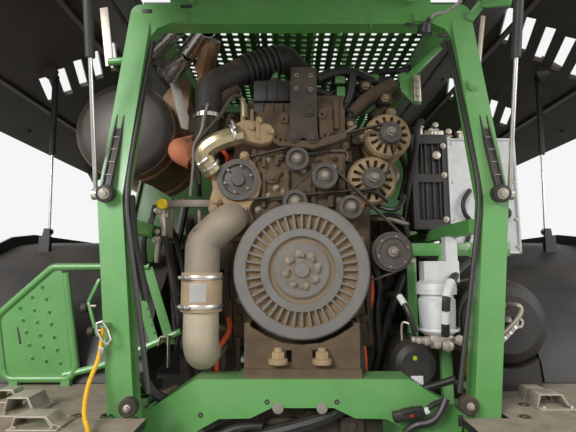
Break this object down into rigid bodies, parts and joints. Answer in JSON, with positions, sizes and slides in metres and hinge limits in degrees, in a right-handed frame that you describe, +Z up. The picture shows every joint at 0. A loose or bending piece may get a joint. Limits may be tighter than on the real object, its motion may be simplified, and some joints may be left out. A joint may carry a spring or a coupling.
{
  "type": "forage harvester",
  "caption": "Self-propelled forage harvester with cab, turning spout, feed house and a rear engine bay whose hatch and side panels stand open.",
  "frame": {"origin": "on the ground under the centre of the machine's bounding box, with hatch and panels open", "axes": "+Y forward, +X the machine's right, +Z up"},
  "size_m": [3.382, 7.5, 3.95],
  "materials": {
    "frame_green": "gloss green paint",
    "black_paint": "satin black paint",
    "engine_dust": "dusty cast iron",
    "cast_grey": "bare casting",
    "tyre_rubber": "matt rubber",
    "rim_yellow": "gloss yellow paint",
    "rubber": "matt rubber",
    "steel": "worn steel",
    "panel_black": "moulded black",
    "white_paint": "pale coated aluminium",
    "cab_glass": "tinted glass",
    "seat_fabric": "woven fabric",
    "rope_yellow": "twisted fibre",
    "mesh_green": "gloss green paint",
    "exhaust_steel": "heat-browned steel"
  },
  "bodies": {
    "chassis": {"main_frame": "frame_green", "front_axle": "frame_green", "rear_arch": "frame_green", "engine_cross_beam": "frame_green", "engine_block": "engine_dust", "crank_damper": "steel", "belt_drive": "rubber", "engine_accessories": "steel", "coolant_pipe": "cast_grey", "intake_duct": "rubber", "turbocharger": "engine_dust", "exhaust_canister": "exhaust_steel", "bay_frame": "frame_green", "bay_roof": "mesh_green", "rear_fenders": "black_paint", "bay_guard": "frame_green", "air_tanks": "black_paint", "air_dryer": "white_paint", "side_cooler": "white_paint", "mid_body": "frame_green", "fuel_tanks": "panel_black", "crop_channel": "frame_green", "cab_shell": "frame_green", "cab_glass": "cab_glass", "cab_roof": "frame_green", "cab_interior": "seat_fabric", "lamps_and_mirrors": "black_paint", "access_platforms": "black_paint", "feed_house": "frame_green", "rear_axle_beam": "frame_green", "pull_rope": "rope_yellow"},
    "front_left_wheel": {"front_left_tyre": "tyre_rubber", "front_left_rim": "rim_yellow"},
    "front_right_wheel": {"front_right_tyre": "tyre_rubber", "front_right_rim": "rim_yellow"},
    "rear_left_wheel": {"rear_left_tyre": "tyre_rubber", "rear_left_rim": "rim_yellow"},
    "rear_right_wheel": {"rear_right_tyre": "tyre_rubber", "rear_right_rim": "rim_yellow"},
    "left_steering": {"left_knuckle": "frame_green"},
    "right_steering": {"right_knuckle": "frame_green"},
    "track_rod": {"tie_rod": "black_paint"},
    "door": {"cab_door": "frame_green"},
    "hatch": {"rear_hatch": "frame_green"},
    "hatch_barrels": {"hatch_strut_barrels": "black_paint"},
    "hatch_rods": {"hatch_strut_rods": "steel"},
    "left_panel": {"side_panel_left": "panel_black"},
    "right_panel": {"side_panel_right": "panel_black"},
    "left_barrel": {"left_strut_barrel": "black_paint"},
    "left_rod": {"left_strut_rod": "steel"},
    "right_barrel": {"right_strut_barrel": "black_paint"},
    "right_rod": {"right_strut_rod": "steel"},
    "turret": {"spout_turret": "frame_green"},
    "spout": {"spout_arm": "frame_green"},
    "flap": {"spout_flap": "frame_green"},
    "lift_barrel": {"spout_lift_barrel": "black_paint"},
    "lift_rod": {"spout_lift_rod": "steel"},
    "upper_roll": {"feed_roll_upper": "black_paint"},
    "lower_roll": {"feed_roll_lower": "black_paint"}
  },
  "joints": [
    {"name": "front_left_spin", "type": "hinge", "parent": "chassis", "child": "front_left_wheel", "pos_m": [-1.25, 1.8, 1.042], "axis": [1, 0, 0], "continuous": true},
    {"name": "front_right_spin", "type": "hinge", "parent": "chassis", "child": "front_right_wheel", "pos_m": [1.25, 1.8, 1.042], "axis": [1, 0, 0], "continuous": true},
    {"name": "steer_left", "type": "hinge", "parent": "chassis", "child": "left_steering", "pos_m": [-0.88, -1.25, 0.775], "axis": [0, 0, 1], "range_deg": [-28, 28]},
    {"name": "steer_right", "type": "hinge", "parent": "chassis", "child": "right_steering", "pos_m": [0.88, -1.25, 0.775], "axis": [0, 0, 1], "range_deg": [-28, 28]},
    {"name": "track_rod_pin", "type": "hinge", "parent": "left_steering", "child": "track_rod", "pos_m": [-0.88, -1.47, 0.628], "axis": [0, 0, 1], "range_deg": [-28, 28]},
    {"name": "rear_left_spin", "type": "hinge", "parent": "left_steering", "child": "rear_left_wheel", "pos_m": [-1.26, -1.25, 0.775], "axis": [1, 0, 0], "continuous": true},
    {"name": "rear_right_spin", "type": "hinge", "parent": "right_steering", "child": "rear_right_wheel", "pos_m": [1.26, -1.25, 0.775], "axis": [1, 0, 0], "continuous": true},
    {"name": "cab_door_hinge", "type": "hinge", "parent": "chassis", "child": "door", "pos_m": [-0.912, 1.168, 2.8], "axis": [0, 0, 1], "range_deg": [0, 75]},
    {"name": "hatch_hinge", "type": "hinge", "parent": "chassis", "child": "hatch", "pos_m": [0, -2.4, 2.665], "axis": [1, 0, 0], "range_deg": [0, 80]},
    {"name": "hatch_strut_pivot", "type": "hinge", "parent": "hatch", "child": "hatch_barrels", "pos_m": [0, -2.69177, 2.69659], "axis": [1, 0, 0], "range_deg": [-94.86, 0]},
    {"name": "hatch_strut_slide", "type": "slide", "parent": "hatch_barrels", "child": "hatch_rods", "axis": [0, -0.2161, 0.9764], "range_m": [0, 0.3361]},
    {"name": "right_panel_hinge", "type": "hinge", "parent": "chassis", "child": "right_panel", "pos_m": [0.64, -1.335, 2.64], "axis": [0, 1, 0], "range_deg": [0, 40]},
    {"name": "right_strut_pivot", "type": "hinge", "parent": "right_panel", "child": "right_barrel", "pos_m": [1.23814, -1.7, 2.58057], "axis": [0, 1, 0], "range_deg": [-62.25, 0]},
    {"name": "right_strut_slide", "type": "slide", "parent": "right_barrel", "child": "right_rod", "axis": [0.0291, 0, 0.9996], "range_m": [0, 0.3455]},
    {"name": "left_panel_hinge", "type": "hinge", "parent": "chassis", "child": "left_panel", "pos_m": [-0.64, -1.335, 2.64], "axis": [0, -1, 0], "range_deg": [0, 40]},
    {"name": "left_strut_pivot", "type": "hinge", "parent": "left_panel", "child": "left_barrel", "pos_m": [-1.23814, -1.7, 2.58057], "axis": [0, -1, 0], "range_deg": [-62.25, 0]},
    {"name": "left_strut_slide", "type": "slide", "parent": "left_barrel", "child": "left_rod", "axis": [-0.0291, 0, 0.9996], "range_m": [0, 0.3455]},
    {"name": "spout_turn", "type": "hinge", "parent": "chassis", "child": "turret", "pos_m": [0, 0.56, 2.8], "axis": [0, 0, 1], "range_deg": [-100, 100]},
    {"name": "spout_lift", "type": "hinge", "parent": "turret", "child": "spout", "pos_m": [0, 0.47, 3.02], "axis": [-1, 0, 0], "range_deg": [0, 40]},
    {"name": "lift_cylinder_pivot", "type": "hinge", "parent": "turret", "child": "lift_barrel", "pos_m": [0, 0.262, 2.884], "axis": [-1, 0, 0], "range_deg": [0, 37.95]},
    {"name": "lift_cylinder_slide", "type": "slide", "parent": "lift_barrel", "child": "lift_rod", "axis": [0, -0.6766, 0.7364], "range_m": [0, 0.1698]},
    {"name": "spout_flap_hinge", "type": "hinge", "parent": "spout", "child": "flap", "pos_m": [0, -3.216, 3.262], "axis": [1, 0, 0], "range_deg": [0, 45]},
    {"name": "upper_roll_spin", "type": "hinge", "parent": "chassis", "child": "upper_roll", "pos_m": [0, 3.225, 1.02], "axis": [1, 0, 0], "continuous": true},
    {"name": "lower_roll_spin", "type": "hinge", "parent": "chassis", "child": "lower_roll", "pos_m": [0, 3.21, 0.67], "axis": [1, 0, 0], "continuous": true}
  ],
  "couplings": [
    {"joint": "steer_right", "follows": "steer_left", "ratio": 1},
    {"joint": "track_rod_pin", "follows": "steer_left", "ratio": -1},
    {"joint": "hatch_strut_pivot", "follows": "hatch_hinge", "ratio": -1.1796},
    {"joint": "hatch_strut_slide", "follows": "hatch_hinge", "m_per_rad": 0.23928},
    {"joint": "right_strut_pivot", "follows": "right_panel_hinge", "ratio": -1.5437},
    {"joint": "right_strut_slide", "follows": "right_panel_hinge", "m_per_rad": 0.49198},
    {"joint": "left_strut_pivot", "follows": "left_panel_hinge", "ratio": -1.5437},
    {"joint": "left_strut_slide", "follows": "left_panel_hinge", "m_per_rad": 0.49198},
    {"joint": "lift_cylinder_pivot", "follows": "spout_lift", "ratio": 0.93624},
    {"joint": "lift_cylinder_slide", "follows": "spout_lift", "m_per_rad": 0.24034},
    {"joint": "lower_roll_spin", "follows": "upper_roll_spin", "ratio": -1.3077}
  ]
}
